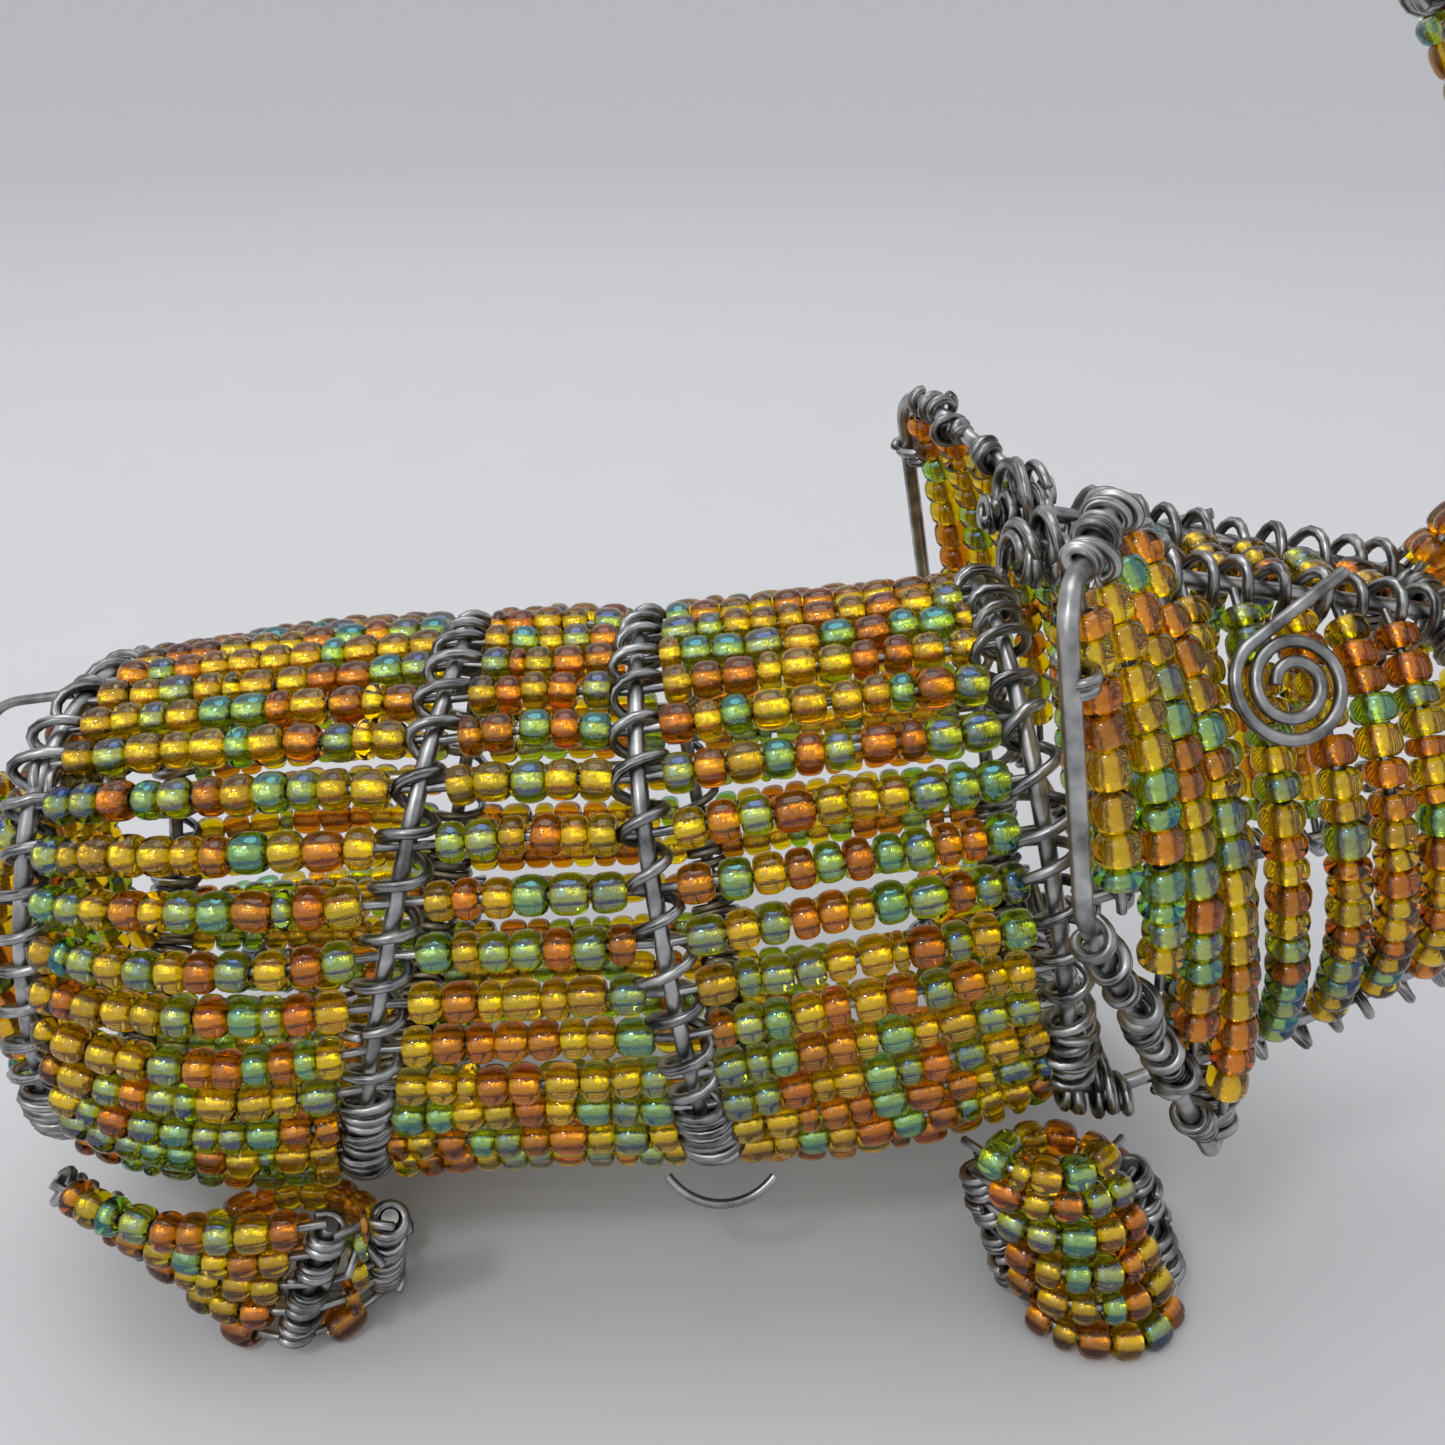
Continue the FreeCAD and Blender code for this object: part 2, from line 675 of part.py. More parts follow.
def eyes():
    along_head = 16.0
    down_column = 0.2
    for side, name, lead_length in ((-1, "right", 8.6), (1, "left", 4.6)):
        arc = column_arc(along_head, side)
        on_skin = arc.valueAt(arc.getParameterByLength(arc.Length * down_column))
        behind = column_arc(along_head - 1, side)
        behind_skin = behind.valueAt(behind.getParameterByLength(behind.Length * down_column))
        back = (behind_skin - on_skin).normalize()
        outward = (on_skin - arc.Curve.Center).normalize()
        up = outward.cross(back).normalize() * side
        outward = back.cross(up) * side
        turn = FreeCAD.Rotation(back, up, back.cross(up), "ZXY")
        centre_point = on_skin + outward * (BEAD + sheet.eye_wire / 2 + 2 * CLEAR)
        edges, start_x = eye_path(lead_length)
        piped_body(f"{name}_eye", edges, start_x, "eye_wire", FreeCAD.Placement(centre_point, turn))


# ---------------------------------------------------------------- tail
def tail():
    hook = RUMP.point(0.25)
    back = Vector(-1, 0, -0.15).normalize()
    start = hook + back * (WRAP + THREAD)
    points = [start, hook + Vector(-8.6, 0, -1.2), hook + Vector(-11.0, 0, -sheet.tail_length)]
    eye = ring("tail_eye", hook, Vector(0, 1, 0), LOOSE_RULE, THREAD_RULE)
    shank = sweep_along("tail_shank", rounded_path(points, 4.0), "binding_wire")
    doc.recompute()
    tail_wire = doc.addObject("Part::MultiFuse", "tail_wire")
    tail_wire.Shapes = [eye, shank]
    keep(tail_wire, "tail_wire")
    low = points[1] + (points[2] - points[1]) * 0.3
    end = points[2] + (points[1] - points[2]) * 0.04
    beads = rod("tail_beads_outside", low, end, BEAD_RULE)
    bore = rod("tail_beads_bore", low, end, THREAD_RULE + " + 0.12")
    tube = doc.addObject("Part::Cut", "tail_beads")
    tube.Base = beads
    tube.Tool = bore
    keep(tube, "tail_beads")


torso()
head_rails()
head_strands()
trunk()
back_rails()
rump_end()
belly_loop()
legs()
ears()
eyes()
tail()


doc.recompute()
failed = [obj.Name for obj in doc.Objects if "Invalid" in obj.State or "Error" in obj.State]
if failed:
    raise RuntimeError(f"not computed: {failed}")
for label, obj in sub_parts.items():
    if obj.Shape.isNull() or not obj.Shape.isValid():
        raise RuntimeError(f"bad shape: {label}")
os.makedirs("parts", exist_ok=True)
for label, obj in sub_parts.items():
    obj.Shape.exportStep(f"parts/{label}.step")
    print(f"{label}: {len(obj.Shape.Solids)} solids, {obj.Shape.Volume:.0f} mm3")
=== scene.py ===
import json
import math

import bpy
import numpy as np
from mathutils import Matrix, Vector


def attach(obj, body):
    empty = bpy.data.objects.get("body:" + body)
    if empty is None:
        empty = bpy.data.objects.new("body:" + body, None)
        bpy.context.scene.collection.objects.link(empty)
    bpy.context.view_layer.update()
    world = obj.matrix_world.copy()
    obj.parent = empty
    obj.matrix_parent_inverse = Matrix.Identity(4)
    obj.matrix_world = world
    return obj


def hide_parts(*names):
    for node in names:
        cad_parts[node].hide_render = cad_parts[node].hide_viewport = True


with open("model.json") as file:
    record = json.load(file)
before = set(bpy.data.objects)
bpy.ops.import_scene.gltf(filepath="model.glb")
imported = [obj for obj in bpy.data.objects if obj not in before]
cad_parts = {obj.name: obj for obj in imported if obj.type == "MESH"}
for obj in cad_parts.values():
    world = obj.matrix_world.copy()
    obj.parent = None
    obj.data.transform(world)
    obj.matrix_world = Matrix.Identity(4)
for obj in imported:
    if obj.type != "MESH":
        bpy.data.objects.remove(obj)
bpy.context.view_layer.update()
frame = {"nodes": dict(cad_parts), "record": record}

MM = 0.001

# Beads and wire.  The coils are drawn a little thicker than the CAD's 0.75 mm binding wire, and the
# thread inside the beads a little thinner.
BEAD_RADIUS = 1.5 * MM
BEAD_LENGTH = 2.2 * MM
BORE_RADIUS = 0.58 * MM
FRAME_RADIUS = 0.625 * MM
BINDING_RADIUS = 0.41 * MM
THREAD_RADIUS = 0.33 * MM
COIL_RADIUS = FRAME_RADIUS + BINDING_RADIUS     # the tightest coil that clears the frame wire
STRAND_REACH = 1.9 * MM        # bare wire between a strand's last bead and the hoop it is tied to
SWAY = 0.16 * MM               # how far a strand bows off its line

GLASS = ("glass_yellow", "glass_orange", "glass_lime", "glass_teal")
GLASS_SHARES = (0.46, 0.24, 0.19, 0.11)
BEAD_MATERIALS = GLASS + ("silver_lining", "wire_binding")
LINING_SLOT, THREAD_SLOT = len(GLASS), len(GLASS) + 1


# ---------------------------------------------------------------- small vector tools
def unit(v):
    return v / max(np.linalg.norm(v), 1e-12)


def smooth_line(points, count):
    """Catmull-Rom points along a line, count of them per span."""
    points = np.asarray(points, float)
    longer = np.vstack([2 * points[0] - points[1], points, 2 * points[-1] - points[-2]])
    out = []
    for a, b, c, d in zip(longer, longer[1:], longer[2:], longer[3:]):
        for k in range(count):
            t = k / count
            out.append(0.5 * (2 * b + (c - a) * t + (2 * a - 5 * b + 4 * c - d) * t ** 2
                              + (3 * b - a - 3 * c + d) * t ** 3))
    out.append(points[-1])
    return np.array(out)


def lengths_along(points):
    """The distance along a line of points to each of them."""
    return np.concatenate([[0], np.cumsum(np.linalg.norm(np.diff(points, axis=0), axis=1))])


def at_length(points, lengths, wanted):
    """The place at a distance along a line."""
    return np.stack([np.interp(wanted, lengths, points[:, k]) for k in range(3)], axis=-1)


def wander(rng, count, size, knots):
    """A smooth random wobble: count offsets in space, changing slowly."""
    few = rng.normal(0, size, (max(knots, 4), 3))
    places = np.linspace(0, len(few) - 1, count)
    return np.stack([np.interp(places, range(len(few)), few[:, k]) for k in range(3)], axis=-1)


# ---------------------------------------------------------------- reading the CAD nodes
def vertex_places(mesh):
    places = np.empty(len(mesh.vertices) * 3)
    mesh.vertices.foreach_get("co", places)
    return places.reshape(-1, 3)


def mesh_islands(node):
    """Every corner's place, its normal, and the number of the solid that it belongs to."""
    mesh = frame["nodes"][node].data
    places = vertex_places(mesh)
    normals = np.empty(len(mesh.loops) * 3)
    mesh.corner_normals.foreach_get("vector", normals)
    corner = np.empty(len(mesh.loops), int)
    mesh.loops.foreach_get("vertex_index", corner)
    edges = np.empty(len(mesh.edges) * 2, int)
    mesh.edges.foreach_get("vertices", edges)
    same_place = 1e-6
    _, merged = np.unique(np.round(places / same_place).astype(int), axis=0, return_inverse=True)
    merged = merged.ravel()
    ends = merged[edges.reshape(-1, 2)]
    label = np.arange(merged.max() + 1)
    while True:
        low = np.minimum(label[ends[:, 0]], label[ends[:, 1]])
        new = label.copy()
        np.minimum.at(new, ends[:, 0], low)
        np.minimum.at(new, ends[:, 1], low)
        new = new[new]
        if (new == label).all():
            break
        label = new
    return places[corner], normals.reshape(-1, 3), label[merged[corner]]


def bar_lines(node, radius):
    """The centre lines of a node's round bars.  A bar's skin, taken inwards by its radius, falls on
    a few stations of its centre line; they come back in order."""
    cell = 3e-5
    fewest_hits = 40
    places, normals, label = mesh_islands(node)
    inward = places - normals * radius
    lines = []
    for island in np.unique(label):
        mine = inward[label == island]
        cells, counts = np.unique(np.round(mine / cell).astype(int), axis=0, return_counts=True)
        found = cells[counts >= fewest_hits] * cell
        far = found[np.argmax(np.linalg.norm(found - found.mean(0), axis=1))]
        other = found[np.argmax(np.linalg.norm(found - far, axis=1))]
        order = np.argsort((found - far) @ unit(other - far))
        kept = [found[order[0]]]
        for k in order[1:]:
            if np.linalg.norm(found[k] - kept[-1]) > 0.2 * MM:
                kept.append(found[k])
        lines.append(np.array(kept))
    return lines


def ring_places(node):
    """The centre and the axis of every closed turn in a node."""
    same_place = 1e-7
    places, _, label = mesh_islands(node)
    rings = []
    for island in np.unique(label):
        mine = np.unique(np.round(places[label == island] / same_place), axis=0) * same_place
        centre = mine.mean(0)
        axis = np.linalg.svd(mine - centre, full_matrices=False)[2][2]
        rings.append((centre, axis))
    return rings


def end_of(node, direction):
    """The middle of the part of a node that reaches furthest in a direction."""
    places = vertex_places(frame["nodes"][node].data)
    reach = places @ np.asarray(direction, float)
    return places[reach > reach.max() - 0.3 * MM].mean(0)


# ---------------------------------------------------------------- mesh bundles
class Bundle:
    """One visible piece, gathered from many small meshes.  The point attribute "grain" runs along
    each wire and round it, and holds three random numbers on each bead."""

    def __init__(self, name, materials):
        self.name = name
        self.materials = materials
        self.points, self.grain, self.faces, self.slots = [], [], [], []
        self.count = 0

    def add(self, points, grain, quads, slots):
        self.points.append(points)
        self.grain.append(grain)
        self.faces.append(quads + self.count)
        self.slots.append(np.broadcast_to(slots, len(quads)))
        self.count += len(points)

    def build(self, body, node):
        """Makes the piece, which rides on a body and stands for a CAD node."""
        points = np.vstack(self.points)
        faces = np.vstack(self.faces)
        mesh = bpy.data.meshes.new(self.name)
        mesh.vertices.add(len(points))
        mesh.vertices.foreach_set("co", points.ravel())
        mesh.loops.add(faces.size)
        mesh.loops.foreach_set("vertex_index", faces.ravel())
        mesh.polygons.add(len(faces))
        mesh.polygons.foreach_set("loop_start", np.arange(len(faces)) * 4)
        mesh.polygons.foreach_set("loop_total", np.full(len(faces), 4))
        for name in self.materials:
            mesh.materials.append(bpy.data.materials[name])
        mesh.polygons.foreach_set("material_index", np.concatenate(self.slots).astype(np.int32))
        mesh.update(calc_edges=True)
        mesh.validate()
        mesh.shade_smooth()
        grain = mesh.attributes.new("grain", "FLOAT_VECTOR", "POINT")
        grain.data.foreach_set("vector", np.vstack(self.grain).ravel())
        piece = bpy.data.objects.new(self.name, mesh)
        bpy.context.scene.collection.objects.link(piece)
        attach(piece, body)
        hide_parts(node)


def tube(bundle, points, radius, slot=0, sides=9):
    """A round wire along a line of points, its cut ends slightly rounded."""
    points = np.asarray(points, float)
    tangents = np.gradient(points, axis=0)
    tangents /= np.maximum(np.linalg.norm(tangents, axis=1, keepdims=True), 1e-12)
    side = unit(np.cross(tangents[0], (0.31, 0.52, 0.79)))
    across = []
    for tangent in tangents:
        side = unit(side - tangent * (side @ tangent))
        across.append(side)
    across = np.array(across)
    other = np.cross(tangents, across)

    cap, shoulder, tip = radius * 0.35, radius * 0.75, radius * 0.04
    first, last = tangents[0] * cap, tangents[-1] * cap
    centres = np.vstack([points[0] - first, points[0] - first * 0.9, points,
                         points[-1] + last * 0.9, points[-1] + last])
    radii = np.concatenate([[tip, shoulder], np.full(len(points), radius), [shoulder, tip]])
    across = np.vstack([across[:1], across[:1], across, across[-1:], across[-1:]])
    other = np.vstack([other[:1], other[:1], other, other[-1:], other[-1:]])

    count = len(centres)
    angle = np.arange(sides) * 2 * math.pi / sides
    cosine, sine = np.cos(angle), np.sin(angle)
    ring = across[:, None] * cosine[None, :, None] + other[:, None] * sine[None, :, None]
    skin = (centres[:, None, :] + ring * radii[:, None, None]).reshape(-1, 3)
    grain = np.empty((count, sides, 3))
    grain[..., 0] = lengths_along(centres)[:, None] / MM + 10 * (bundle.count % 97)
    grain[..., 1] = cosine
    grain[..., 2] = sine
    rows = np.arange(count - 1)[:, None] * sides
    columns = np.arange(sides)
    a, b = rows + columns, rows + (columns + 1) % sides
    quads = np.stack([a, b, b + sides, a + sides], axis=-1).reshape(-1, 4)
    bundle.add(skin, grain.reshape(-1, 3), quads, slot)


# ---------------------------------------------------------------- beads
def bead_template(sides=18):
    """A round seed bead along X, one unit long and one unit in radius: its rounded outside, then
    its bore.  Returns the points, the quads, and for each quad whether it is in the bore."""
    inner = BORE_RADIUS / BEAD_RADIUS
    outside_rows = 10
    profile = []
    for k in range(outside_rows + 1):
        t = -math.pi / 2 + math.pi * k / outside_rows
        swell = abs(math.cos(t)) ** 0.74
        x = math.copysign(abs(math.sin(t)) ** 0.8, t) * 0.5
        profile.append((x, inner * 1.02 + (1 - inner) * swell))
    profile += [(0.46, inner * 0.98), (0.0, inner * 0.96), (-0.46, inner * 0.98)]
    rows = len(profile)
    angle = np.arange(sides) * 2 * math.pi / sides
    points = np.array([(x, r * math.cos(a), r * math.sin(a)) for x, r in profile for a in angle])
    quads = []
    for row in range(rows):
        here, after = row * sides, (row + 1) % rows * sides
        for k in range(sides):
            ahead = (k + 1) % sides
            quads.append((here + k, here + ahead, after + ahead, after + k))
    in_bore = np.repeat(np.arange(rows) >= outside_rows, sides)
    return points, np.array(quads), in_bore


BEAD_POINTS, BEAD_QUADS, BEAD_IN_BORE = bead_template()


def bead(bundle, rng, centre, along, length, radius, glass):
    """One bead at a place on its wire, a little tilted and off centre as a loose bead sits."""
    along = unit(along + rng.normal(0, 0.05, 3))
    side = unit(np.cross(along, (0.21, 0.63, 0.75)))
    spin = rng.uniform(0, 2 * math.pi)
    up = np.cross(along, side)
    cosine, sine = math.cos(spin), math.sin(spin)
    side, up = side * cosine + up * sine, up * cosine - side * sine
    axes = np.stack([along * length, side * radius, up * radius * rng.uniform(0.97, 1.0)])
    points = BEAD_POINTS @ axes + centre + np.cross(along, rng.normal(0, 0.05 * MM, 3))
    grain = np.broadcast_to(rng.uniform(0, 1, 3), points.shape)
    bundle.add(points, grain, BEAD_QUADS, np.where(BEAD_IN_BORE, LINING_SLOT, glass))


def bead_strand(bundle, rng, line, radius=BEAD_RADIUS, length=BEAD_LENGTH, reach=STRAND_REACH):
    """A strand of beads along a line, with its thread wire showing at both ends and in the gaps.
    Beads differ in length, and six in a hundred are thin ones."""
    dense = smooth_line(line, 8) if len(line) > 2 else np.linspace(line[0], line[-1], 16)
    along = unit(dense[-1] - dense[0])
    sway = np.cross(along, rng.normal(0, SWAY, 3))
    dense = dense + np.sin(np.linspace(0, math.pi, len(dense)))[:, None] * sway
    lengths = lengths_along(dense)
    total = lengths[-1]
    count = max(1, round(total / length))
    sizes = np.clip(rng.normal(1, 0.13, count), 0.68, 1.35)
    sizes[rng.uniform(size=count) < 0.06] *= 0.62
    gaps = np.where(rng.uniform(size=count + 1) < 0.12, rng.uniform(0.05, 0.22, count + 1), 0.01)
    spare = gaps.sum() * length
    scale = (total - spare) / (sizes.sum() * length)
    place = gaps[0] * length
    for size, gap in zip(sizes, gaps[1:]):
        half = size * length * scale / 2
        place += half
        centre = at_length(dense, lengths, place)
        ahead = at_length(dense, lengths, min(place + half, total))
        behind = at_length(dense, lengths, max(place - half, 0))
        glass = rng.choice(len(GLASS), p=GLASS_SHARES)
        fat = radius * rng.uniform(0.93, 1.01)
        bead(bundle, rng, centre, unit(ahead - behind), 2 * half * 0.985, fat, glass)
        place += half + gap * length
    start, end = unit(dense[0] - dense[1]), unit(dense[-1] - dense[-2])
    thread = np.vstack([dense[0] + start * reach, dense[0] + start * reach * 0.5, dense,
                        dense[-1] + end * reach * 0.5, dense[-1] + end * reach])
    tube(bundle, thread, THREAD_RADIUS, slot=THREAD_SLOT, sides=8)


def bead_panel(node, body, seed, **options):
    """The beads of one CAD node of plain strands, which this piece stands for."""
    rng = np.random.default_rng(seed)
    bundle = Bundle(node.replace("_strands", "_beads"), BEAD_MATERIALS)
    for line in bar_lines(node, BEAD_RADIUS):
        bead_strand(bundle, rng, line, **options)
    bundle.build(body, node)


def tail_beads():
    rng = np.random.default_rng(81)
    bundle = Bundle("tail_bead_string", BEAD_MATERIALS)
    for line in bar_lines("tail_beads", BEAD_RADIUS):
        bead_strand(bundle, rng, line, reach=0.2 * MM)
    bundle.build("tail", "tail_beads")


# ---------------------------------------------------------------- binding wire
def closed_order(rings):
    """The rings' centres in order round a hoop."""
    centres = np.array([centre for centre, _ in rings])
    middle = centres.mean(0)
    normal = np.linalg.svd(centres - middle, full_matrices=False)[2][2]
    across = unit(np.cross(normal, (0, 0, 1)))
    up = np.cross(normal, across)
    angles = np.arctan2((centres - middle) @ up, (centres - middle) @ across)
    return centres[np.argsort(angles)]


def line_order(rings):
    """The rings' centres in order along a rail."""
    centres = np.array([centre for centre, _ in rings])
    far = centres[np.argmax(np.linalg.norm(centres - centres.mean(0), axis=1))]
    other = centres[np.argmax(np.linalg.norm(centres - far, axis=1))]
    return centres[np.argsort((centres - far) @ unit(other - far))]


def coil(bundle, rng, centre_line, outward_of, turns_at, out_reach, side_reach, wobble):
    """A hand-wound coil round a frame wire.  outward_of gives the outward direction at a point, and
    turns_at the turns in the span there; the reaches are how far the coil stands off, outwards and
    sideways."""
    tangents = np.gradient(centre_line, axis=0)
    out, phase = [], rng.uniform(0, 2 * math.pi)
    spans = len(centre_line) - 1
    cuts, knot_every = 12, 40        # slack values in each span, and how far apart its changes are
    slack_places = np.arange((spans + 1) * cuts)
    slack_knots = np.arange(0, (spans + 1) * cuts + knot_every, knot_every)
    loose = 1 + 0.22 * np.interp(slack_places, slack_knots, rng.normal(0, 1, len(slack_knots)))
    for k in range(spans):
        outward = outward_of(centre_line[k])
        tangent = unit(tangents[k])
        outward = unit(outward - tangent * (outward @ tangent))
        sideways = np.cross(tangent, outward)
        turns = turns_at(outward, k)
        steps = max(4, int(14 * turns))
        tight = min(1.0, 1.6 / turns + 0.25)
        for j in range(steps):
            t = j / steps
            centre = centre_line[k] * (1 - t) + centre_line[k + 1] * t
            slack = loose[k * cuts + int(cuts * t)]
            reach_out = max(out_reach * (0.75 + 0.25 * slack), COIL_RADIUS)
            reach_side = max(side_reach * slack * tight, COIL_RADIUS)
            out.append(centre + outward * reach_out * math.cos(phase)
                       + sideways * reach_side * math.sin(phase))
            phase += 2 * math.pi * turns / steps
    out = np.array(out)
    out += wander(rng, len(out), wobble, len(out) // 6)
    tube(bundle, out, BINDING_RADIUS)


def tangle(bundle, rng, start, end, reach, turns):
    """A loose lashing: uneven, slightly flattened loops wound round the line from start to end."""
    per_turn, flat = 16, 0.75
    start, end = np.asarray(start, float), np.asarray(end, float)
    axis = unit(end - start)
    side = unit(np.cross(axis, (0.37, 0.11, 0.92)))
    up = np.cross(axis, side)
    steps = turns * per_turn
    sizes = np.interp(np.arange(steps) / per_turn, np.arange(turns + 2),
                      rng.uniform(0.65, 1.2, turns + 2))
    drift = wander(rng, steps, reach * 0.22, int(turns * 1.5))
    phase = rng.uniform(0, 6)
    out = []
    for k in range(steps):
        t = k / (steps - 1)
        angle = phase + 2 * math.pi * k / per_turn
        loop = (side * math.cos(angle) + up * flat * math.sin(angle)) * reach * sizes[k]
        out.append(start + (end - start) * t + loop + drift[k])
    tube(bundle, smooth_line(out, 2), BINDING_RADIUS)


def hoop_binding(hoop, seed, wobble=0.14 * MM, out_reach=1.15 * MM, knots=()):
    """The continuous coil round a torso hoop, close and thick below and open above, and the knots
    where other wires are tied to it: each knot's two ends, its reach and its turns."""
    rng = np.random.default_rng(seed)
    places = closed_order(ring_places(f"{hoop}_hoop_wraps"))
    middle = places.mean(0)
    ring = smooth_line(np.vstack([places, places[:1]]), 2)

    def outward_of(point):
        return unit((point - middle) * (0.2, 1, 1))

    def turns_at(outward, k):
        dense = 1.9 if outward[2] < -0.25 else 0.55
        return dense * (0.85 + 0.3 * ((k * 37) % 10) / 10)

    bundle = Bundle(f"{hoop}_hoop_binding", ("wire_binding",))
    coil(bundle, rng, ring, outward_of, turns_at, out_reach, 1.75 * MM, wobble)
    for knot in knots:
        tangle(bundle, rng, *knot)
    bundle.build("figure", f"{hoop}_hoop_wraps")


def torso_bindings():
    """The coils round the four hoops.  The back rails are tied to the rump hoop, and the head's
    rails to the neck hoop, each with a close knot and a looser one over it."""
    rump, neck = [], []
    for side in ("right", "left"):
        tied = end_of(f"{side}_back_rail", (-1, 0, 0))
        rump.append((tied + (-1.0 * MM, 0, 0), tied + (5.0 * MM, 0, 0.8 * MM), 1.7 * MM, 7))
        rump.append((tied + (-0.5 * MM, 0, 0.5 * MM), tied + (2.0 * MM, 0, 0.8 * MM), 2.7 * MM, 2))
        for rail in ("brow", "jaw"):
            tied = end_of(f"{side}_{rail}_rail", (-1, 0, 0))
            neck.append((tied + (-3.2 * MM, 0, 0), tied + (2.2 * MM, 0, 0), 1.8 * MM, 7))
            neck.append((tied + (-2.6 * MM, 0, 1.0 * MM), tied + (0.4 * MM, 0, 1.5 * MM),
                         2.6 * MM, 3))
    hoop_binding("rump", 40, knots=rump)
    hoop_binding("rear", 41)
    hoop_binding("mid", 42)
    hoop_binding("neck", 43, 0.3 * MM, 1.45 * MM, neck)


def rail_binding():
    """The open coils round the head's brow and jaw rails."""
    rng = np.random.default_rng(31)
    bundle = Bundle("head_rail_binding", ("wire_binding",))
    rings = ring_places("head_rail_wraps")
    heights = np.array([centre[2] for centre, _ in rings])
    level = (heights.max() + heights.min()) / 2
    for side in (-1, 1):
        for top in (True, False):
            mine = [r for r in rings if r[0][1] * side > 0 and (r[0][2] > level) == top]
            line = line_order(mine)
            outward = unit(np.array((0, side * 0.35, 1.0 if top else -1.0)))
            ends = np.vstack([2 * line[0] - line[1], line, 2 * line[-1] - line[-2]])
            coil(bundle, rng, smooth_line(ends, 2), lambda _, fixed=outward: fixed,
                 lambda _, k: 0.6 + 0.25 * ((k * 7) % 4) / 4,
                 (1.9 if top else 1.6) * MM, 1.4 * MM, 0.2 * MM)
    bundle.build("figure", "head_rail_wraps")


def small_coils(name, node, seed, turns):
    """A short coil in place of each closed turn of a CAD node, its last part opening out."""
    per_turn, reach, pitch = 14, 1.15 * MM, 0.95 * MM
    rng = np.random.default_rng(seed)
    bundle = Bundle(name, ("wire_binding",))
    for centre, axis in ring_places(node):
        side = unit(np.cross(axis, (0.2, 0.5, 0.8)))
        up = np.cross(axis, side)
        here = turns * rng.uniform(0.8, 1.3)
        steps = int(here * per_turn)
        phase = rng.uniform(0, 6)
        out = []
        for k in range(steps):
            angle = phase + 2 * math.pi * k / per_turn
            grow = 1 + 0.35 * max(0.0, k / steps - 0.8) / 0.2
            out.append(centre + axis * pitch * (k / per_turn - here / 2)
                       + (side * math.cos(angle) + up * math.sin(angle)) * reach * grow)
        out = np.array(out) + wander(rng, steps, 0.06 * MM, 4)
        tube(bundle, out, BINDING_RADIUS)
    bundle.build("figure", node)


def ear_bindings():
    """On each ear the loose turns round its frame; on the figure the two lashings that the ear
    turns in, one low and one high."""
    for seed, side in enumerate(("right", "left")):
        outward = (0, -1 if side == "right" else 1, 0)
        wire_node = f"{side}_ear_wire"
        ways = ((-0.5, outward[1] * 0.3, 1), outward, (0, 0, -1))
        top, outer, low = [end_of(wire_node, way) for way in ways]
        rng = np.random.default_rng(60 + seed)
        bundle = Bundle(f"{side}_ear_binding", ("wire_binding",))
        for centre, axis in ring_places(f"{side}_ear_wraps"):
            tangle(bundle, rng, centre - axis * MM, centre + axis * MM, 1.3 * MM, 3)
        edge = outer - top
        tangle(bundle, rng, top + edge * 0.22, top + edge * 0.30, 1.15 * MM, 2)
        edge = low - outer
        tangle(bundle, rng, outer + edge * 0.05, outer + edge * 0.62, 1.35 * MM, 9)
        bundle.build(f"{side}_ear", f"{side}_ear_wraps")

        bundle = Bundle(f"{side}_ear_lashing_wire", ("wire_binding",))
        rings = sorted(ring_places(f"{side}_ear_lashings"), key=lambda ring: ring[0][2])
        for three, reach, turns in ((rings[:3], 1.7 * MM, 6), (rings[3:], 1.9 * MM, 8)):
            bottom, upper = three[0][0], three[2][0]
            longer = unit(upper - bottom) * 1.1 * MM
            tangle(bundle, rng, bottom - longer, upper + longer, reach, turns)
        bundle.build("figure", f"{side}_ear_lashings")


# ---------------------------------------------------------------- materials
class Material:
    """A new node material, with the few kinds of node that these materials share."""

    def __init__(self, name):
        material = bpy.data.materials.new(name)
        material.use_nodes = True
        self.nodes = material.node_tree.nodes
        self.links = material.node_tree.links
        self.shader = self.nodes["Principled BSDF"]

    def values(self, **settings):
        """Sets the shader's own sockets: roughness=0.5 sets Roughness."""
        for name, value in settings.items():
            socket = name.replace("_", " ").title().replace("Ior", "IOR")
            self.shader.inputs[socket].default_value = value

    def grain(self):
        attribute = self.nodes.new("ShaderNodeAttribute")
        attribute.attribute_name = "grain"
        return attribute.outputs["Vector"]

    def noise(self, scale, detail=2, vector=None):
        """Noise in object space, or over another vector."""
        noise = self.nodes.new("ShaderNodeTexNoise")
        noise.inputs["Scale"].default_value = scale
        noise.inputs["Detail"].default_value = detail
        if vector is None:
            vector = self.nodes.new("ShaderNodeTexCoord").outputs["Object"]
        self.links.new(vector, noise.inputs["Vector"])
        return noise.outputs["Fac"]

    def spread(self, source, low, high):
        """A 0 to 1 value turned into low to high."""
        between = self.nodes.new("ShaderNodeMapRange")
        between.inputs["To Min"].default_value = low
        between.inputs["To Max"].default_value = high
        self.links.new(source, between.inputs["Value"])
        return between.outputs[0]

    def ramp(self, source, low, high):
        """A colour between two (position, colour) stops."""
        ramp = self.nodes.new("ShaderNodeValToRGB")
        for element, (position, colour) in zip(ramp.color_ramp.elements, (low, high)):
            element.position = position
            element.color = (*colour, 1)
        self.links.new(source, ramp.inputs["Fac"])
        return ramp.outputs["Color"]

    def shade(self, socket, source):
        self.links.new(source, self.shader.inputs[socket])

    def bump(self, height, strength, distance):
        bump = self.nodes.new("ShaderNodeBump")
        bump.inputs["Strength"].default_value = strength
        bump.inputs["Distance"].default_value = distance
        self.links.new(height, bump.inputs["Height"])
        self.shade("Normal", bump.outputs["Normal"])


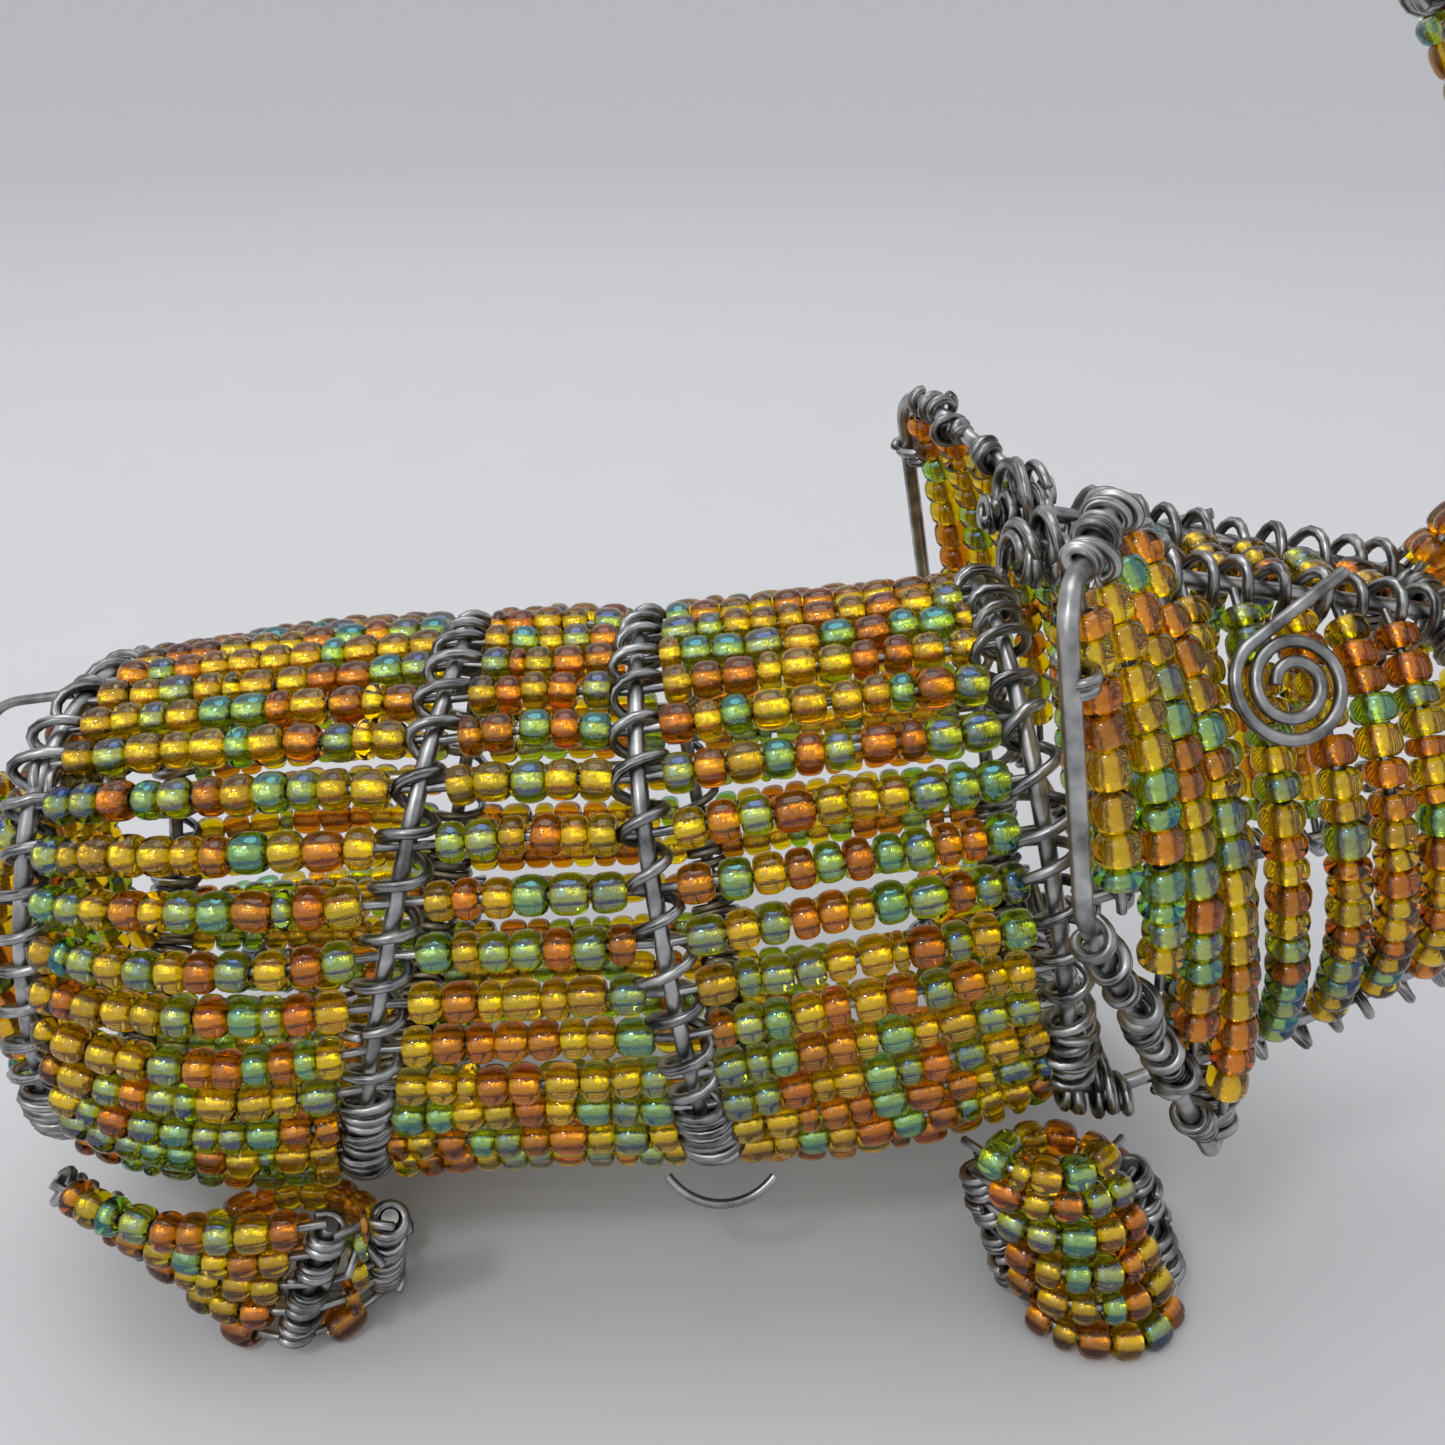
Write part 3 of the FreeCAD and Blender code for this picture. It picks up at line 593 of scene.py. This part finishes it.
def glass(name, colour, depth, film=0.0):
    """Coloured glass: light darkens as it goes deeper, towards the depth colour.  Beads differ a
    little in tint, and some have an oily film on the outside."""
    made = Material(name)
    made.values(roughness=0.0, ior=1.5, transmission_weight=1.0)
    if film:
        made.values(thin_film_thickness=film, thin_film_ior=1.9)
    split = made.nodes.new("ShaderNodeSeparateXYZ")
    made.links.new(made.grain(), split.inputs[0])
    shift = made.nodes.new("ShaderNodeHueSaturation")
    shift.inputs["Color"].default_value = (*colour, 1)
    made.links.new(made.spread(split.outputs["X"], 0.485, 0.515), shift.inputs["Hue"])
    made.links.new(made.spread(split.outputs["Y"], 0.62, 1.0), shift.inputs["Value"])
    made.shade("Base Color", shift.outputs[0])
    made.bump(made.noise(500), 0.06, 0.1 * MM)
    absorption = made.nodes.new("ShaderNodeVolumeAbsorption")
    absorption.inputs["Color"].default_value = (*depth, 1)
    absorption.inputs["Density"].default_value = 950
    made.links.new(absorption.outputs[0], made.nodes["Material Output"].inputs["Volume"])


def lining():
    """The silvered hole: bright metal with a crackled shine."""
    made = Material("silver_lining")
    made.values(base_color=(0.98, 0.85, 0.46, 1), metallic=1.0)
    crackle = made.noise(2400, detail=3)
    made.shade("Roughness", made.spread(crackle, 0.1, 0.42))
    made.bump(crackle, 1.0, 0.08 * MM)


def wire(name, dark, light):
    """Dull galvanised wire: dark and bright drawing streaks, and cloudy patches of zinc.  The
    streaks are darker and brighter than the zinc's own colour, partly as painted shade and painted
    reflection.
    """
    made = Material(name)
    made.values(metallic=1.0)
    stretch = made.nodes.new("ShaderNodeMapping")
    stretch.inputs["Scale"].default_value = (0.22, 2.6, 2.6)
    made.links.new(made.grain(), stretch.inputs["Vector"])
    both = made.nodes.new("ShaderNodeMix")
    both.inputs["Factor"].default_value = 0.5
    made.links.new(made.noise(420, detail=4), both.inputs["A"])
    made.links.new(made.noise(1.0, detail=3, vector=stretch.outputs[0]), both.inputs["B"])
    streaks_and_painted_sheen = both.outputs["Result"]
    # The base colour follows the streaks: real drawing streaks and zinc patches, with extra
    # contrast that is painted shade and painted reflection.
    made.shade("Base Color", made.ramp(streaks_and_painted_sheen, (0.38, dark), (0.60, light)))
    made.shade("Roughness", made.spread(streaks_and_painted_sheen, 0.45, 0.2))
    made.bump(streaks_and_painted_sheen, 0.6, 0.08 * MM)


def paper(name, colour):
    """Matt card for the backdrop, very slightly uneven."""
    made = Material(name)
    made.values(roughness=0.7, specular_ior_level=0.2)
    darker = tuple(0.97 * c for c in colour)
    made.shade("Base Color", made.ramp(made.noise(60), (0.0, darker), (1.0, colour)))


glass("glass_yellow", (0.94, 0.76, 0.012), (0.98, 0.91, 0.012))
glass("glass_orange", (0.88, 0.50, 0.015), (0.95, 0.74, 0.02))
glass("glass_lime", (0.64, 0.70, 0.035), (0.86, 0.92, 0.04), film=165)
glass("glass_teal", (0.56, 0.68, 0.06), (0.81, 0.93, 0.09), film=195)
lining()
# The wires' dark and light colours are set far apart, so their streaks are partly painted shade and
# painted reflection.
wire("wire_frame", (0.07, 0.07, 0.072), (0.56, 0.56, 0.555))
wire("wire_binding", (0.03, 0.03, 0.031), (0.46, 0.46, 0.455))
paper("paper", (0.62, 0.62, 0.63))


# ---------------------------------------------------------------- the figure
BODY_OF = {node: body
           for body, nodes in frame["record"]["behaviour"]["bodies"].items() for node in nodes}
for seed, node in enumerate(sorted(n for n in frame["nodes"] if n.endswith("_strands"))):
    # The head's columns are of slightly fatter and shorter beads.
    fatter = {"radius": 1.56 * MM, "length": 2.0 * MM} if node.endswith("_head_strands") else {}
    bead_panel(node, BODY_OF[node], 100 + seed, **fatter)

torso_bindings()
rail_binding()
small_coils("trunk_binding", "trunk_wraps", 51, turns=2.2)
small_coils("leg_binding", "leg_wraps", 52, turns=2.4)
ear_bindings()
tail_beads()

# The CAD nodes that stay are bare wire: the frame, and the thinner eyes, tail wire and belly loop.
for node, piece in frame["nodes"].items():
    if not piece.hide_render:
        thin = node.endswith("_eye") or node in ("tail_wire", "belly_loop")
        piece.data.materials.clear()
        piece.data.materials.append(bpy.data.materials["wire_binding" if thin else "wire_frame"])


# ---------------------------------------------------------------- floor, light and camera
def backdrop():
    """A pale round floor that curves up at its rim, far from the figure."""
    flat, bend, steps, sides = 0.9, 1.1, 12, 96
    profile = [(1e-4, 0.0), (0.3, 0.0), (0.6, 0.0), (flat, 0.0)]
    for k in range(1, steps + 1):
        rise = math.radians(40) * k / steps
        profile.append((flat + bend * math.sin(rise), bend * (1 - math.cos(rise))))
    points, quads = [], []
    for r, z in profile:
        for k in range(sides):
            a = 2 * math.pi * k / sides
            points.append((r * math.cos(a), r * math.sin(a), z))
    for row in range(len(profile) - 1):
        for k in range(sides):
            ahead = (k + 1) % sides
            low, high = row * sides, (row + 1) * sides
            quads.append((low + k, high + k, high + ahead, low + ahead))
    mesh = bpy.data.meshes.new("backdrop")
    mesh.from_pydata(points, [], quads)
    mesh.materials.append(bpy.data.materials["paper"])
    mesh.shade_smooth()
    floor = bpy.data.objects.new("backdrop", mesh)
    bpy.context.scene.collection.objects.link(floor)


def soft_light(name, place, size, power, colour):
    """A round lamp that points at the middle of the figure."""
    target = Vector((0, 0, 0.03))
    data = bpy.data.lights.new(name, "AREA")
    data.shape = "DISK"
    data.size = size
    data.energy = power
    data.color = colour
    lamp = bpy.data.objects.new(name, data)
    lamp.location = place
    lamp.rotation_mode = "QUATERNION"
    lamp.rotation_quaternion = (target - Vector(place)).to_track_quat("-Z", "Y")
    bpy.context.scene.collection.objects.link(lamp)


backdrop()
soft_light("key", (-0.08, 0.16, 0.72), 0.5, 1.3, (1.0, 0.99, 0.97))
soft_light("fill", (-0.4, -0.6, 0.5), 0.6, 0.85, (1.0, 0.99, 0.97))
soft_light("sparkle", (-0.22, -0.30, 0.55), 0.09, 0.5, (1.0, 1.0, 1.0))
world = bpy.data.worlds.new("studio")
world.use_nodes = True
sky = world.node_tree.nodes["Background"]
sky.inputs["Color"].default_value = (0.86, 0.88, 0.92, 1)
sky.inputs["Strength"].default_value = 0.87
bpy.context.scene.world = world
bpy.context.scene.view_settings.view_transform = "Standard"

# The photograph's camera: close above the figure's right side, tilted 28 degrees down.
camera_data = bpy.data.cameras.new("camera")
camera_data.sensor_width = 36
camera_data.lens = 33.2
camera_data.clip_start = 0.005
camera = bpy.data.objects.new("camera", camera_data)
camera.location = (-5.65 * MM, -90.4 * MM, 92.0 * MM)
camera.rotation_euler = (math.radians(90 - 28), 0, 0)
bpy.context.scene.collection.objects.link(camera)
bpy.context.scene.camera = camera

bpy.context.view_layer.update()
